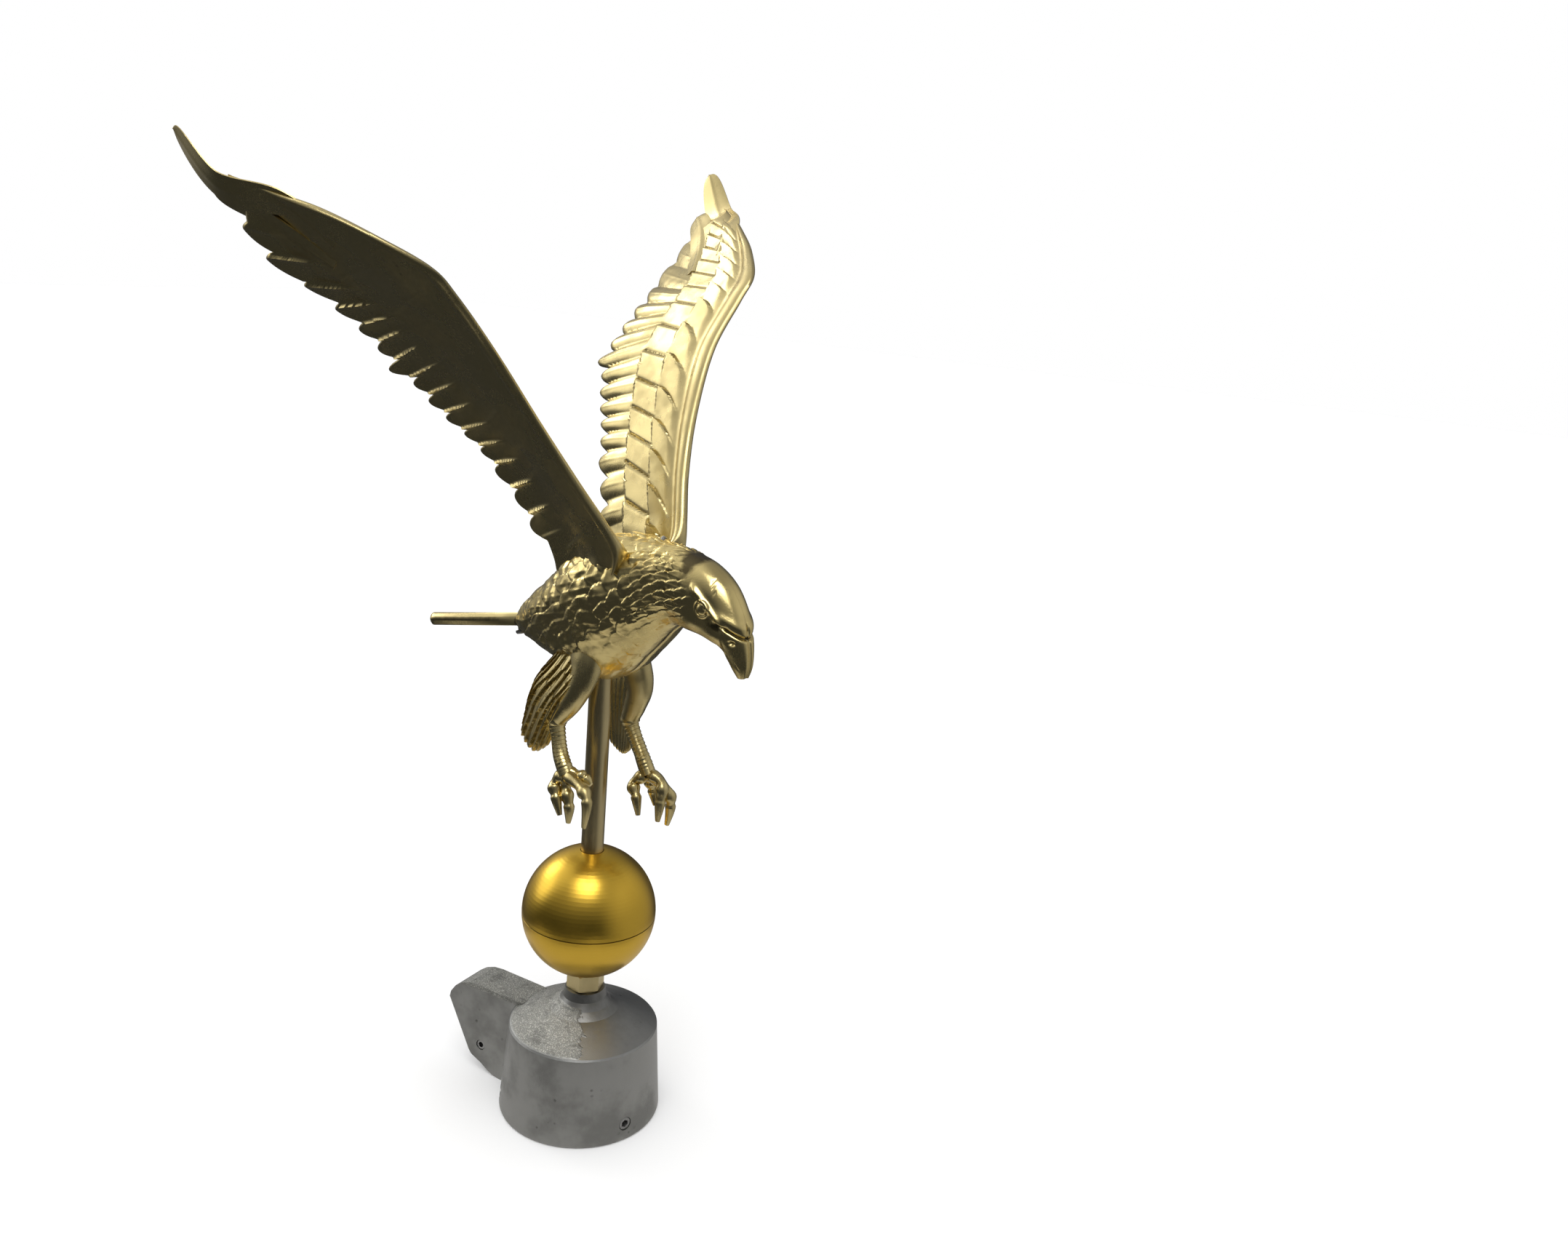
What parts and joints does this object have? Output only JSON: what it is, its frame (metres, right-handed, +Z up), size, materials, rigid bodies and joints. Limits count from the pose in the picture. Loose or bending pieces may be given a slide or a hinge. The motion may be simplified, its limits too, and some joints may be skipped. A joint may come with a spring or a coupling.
{
  "type": "flagpole top ornament",
  "caption": "Cast pole-top cap with a side halyard pulley, carrying a ball and a flying eagle with raised wings on a rod.",
  "frame": {"origin": "centre of the cap's mouth, on the pole axis", "axes": "+Z up the pole axis; the halyard pulley is towards -X; the eagle flies 16 degrees to the right of +X"},
  "size_m": [0.266, 0.3252, 0.5386],
  "materials": {
    "cast_aluminium": "satin raw casting",
    "screw_steel": "dull zinc",
    "wheel_metal": "turned",
    "bushing_bronze": "plain bearing",
    "gold_plate": "polished gold-toned casting",
    "ball_gold": "satin gold anodised"
  },
  "bodies": {
    "truck": {"pole_cap": "cast_aluminium", "pole_set_screws": "screw_steel", "pulley_axle": "screw_steel", "spindle_rod": "gold_plate", "lock_nut": "gold_plate", "ball_lower_half": "ball_gold", "ball_upper_half": "ball_gold", "spindle_anchor": "screw_steel", "body_right": "gold_plate", "body_left": "gold_plate", "body_cross_screws": "screw_steel", "wing_right": "gold_plate", "wing_left": "gold_plate", "wing_screws": "screw_steel", "tail": "gold_plate", "tail_screws": "screw_steel", "leg_right": "gold_plate", "leg_left": "gold_plate", "leg_screws": "screw_steel"},
    "pulley": {"pulley_wheel": "wheel_metal", "pulley_bushing": "bushing_bronze"}
  },
  "joints": [
    {"name": "pulley_spin", "type": "hinge", "parent": "truck", "child": "pulley", "pos_m": [-0.0665, 0, 0.018], "axis": [0, 1, 0], "continuous": true}
  ]
}
